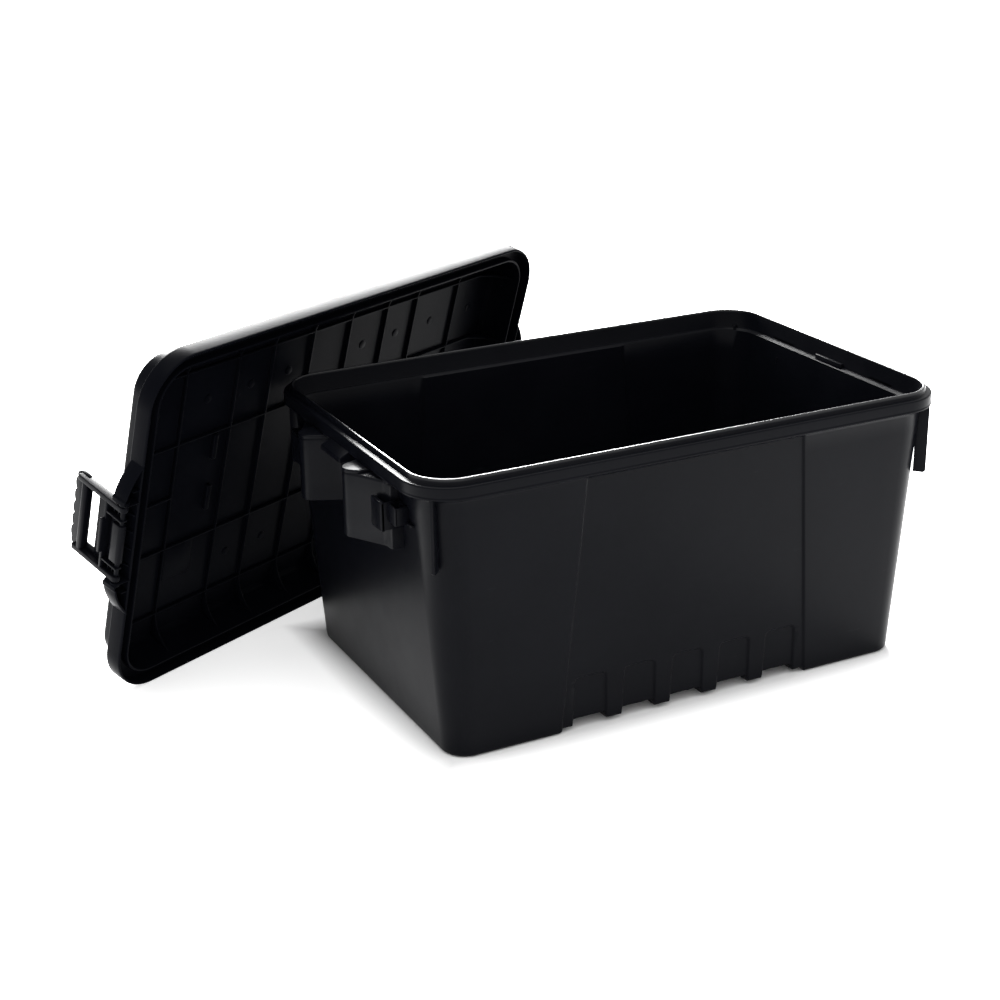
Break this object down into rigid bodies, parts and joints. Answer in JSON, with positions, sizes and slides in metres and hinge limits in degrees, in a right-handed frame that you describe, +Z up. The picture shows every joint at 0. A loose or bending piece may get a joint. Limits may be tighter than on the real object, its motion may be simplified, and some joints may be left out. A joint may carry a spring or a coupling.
{
  "type": "tool trunk",
  "caption": "Deep moulded plastic trunk for storing and carrying tools, with a lift-off ribbed lid and a swing latch at each end.",
  "frame": {"origin": "centre of the tub's base, on the surface that it stands on", "axes": "+X along the tub's long side, -Y out of the long front side, +Z up"},
  "size_m": [0.869, 0.6142, 0.387],
  "materials": {
    "tub_plastic": "satin",
    "lid_plastic": "satin",
    "latch_plastic": "satin"
  },
  "bodies": {
    "tub": {"tub": "tub_plastic"},
    "lid": {"lid": "lid_plastic"},
    "latch_left": {"latch_left": "latch_plastic"},
    "latch_right": {"latch_right": "latch_plastic"}
  },
  "joints": [
    {"name": "lid_lift", "type": "slide", "parent": "tub", "child": "lid", "axis": [0, 0, 1], "range_m": [0, 0.4]},
    {"name": "latch_left_swing", "type": "hinge", "parent": "lid", "child": "latch_left", "pos_m": [-0.51335, 0.06739, 0.19263], "axis": [0.1189, -0.2449, 0.9622], "range_deg": [0, 186]},
    {"name": "latch_right_swing", "type": "hinge", "parent": "lid", "child": "latch_right", "pos_m": [0.06057, 0.34607, 0.19263], "axis": [-0.1189, 0.2449, -0.9622], "range_deg": [0, 186]}
  ]
}
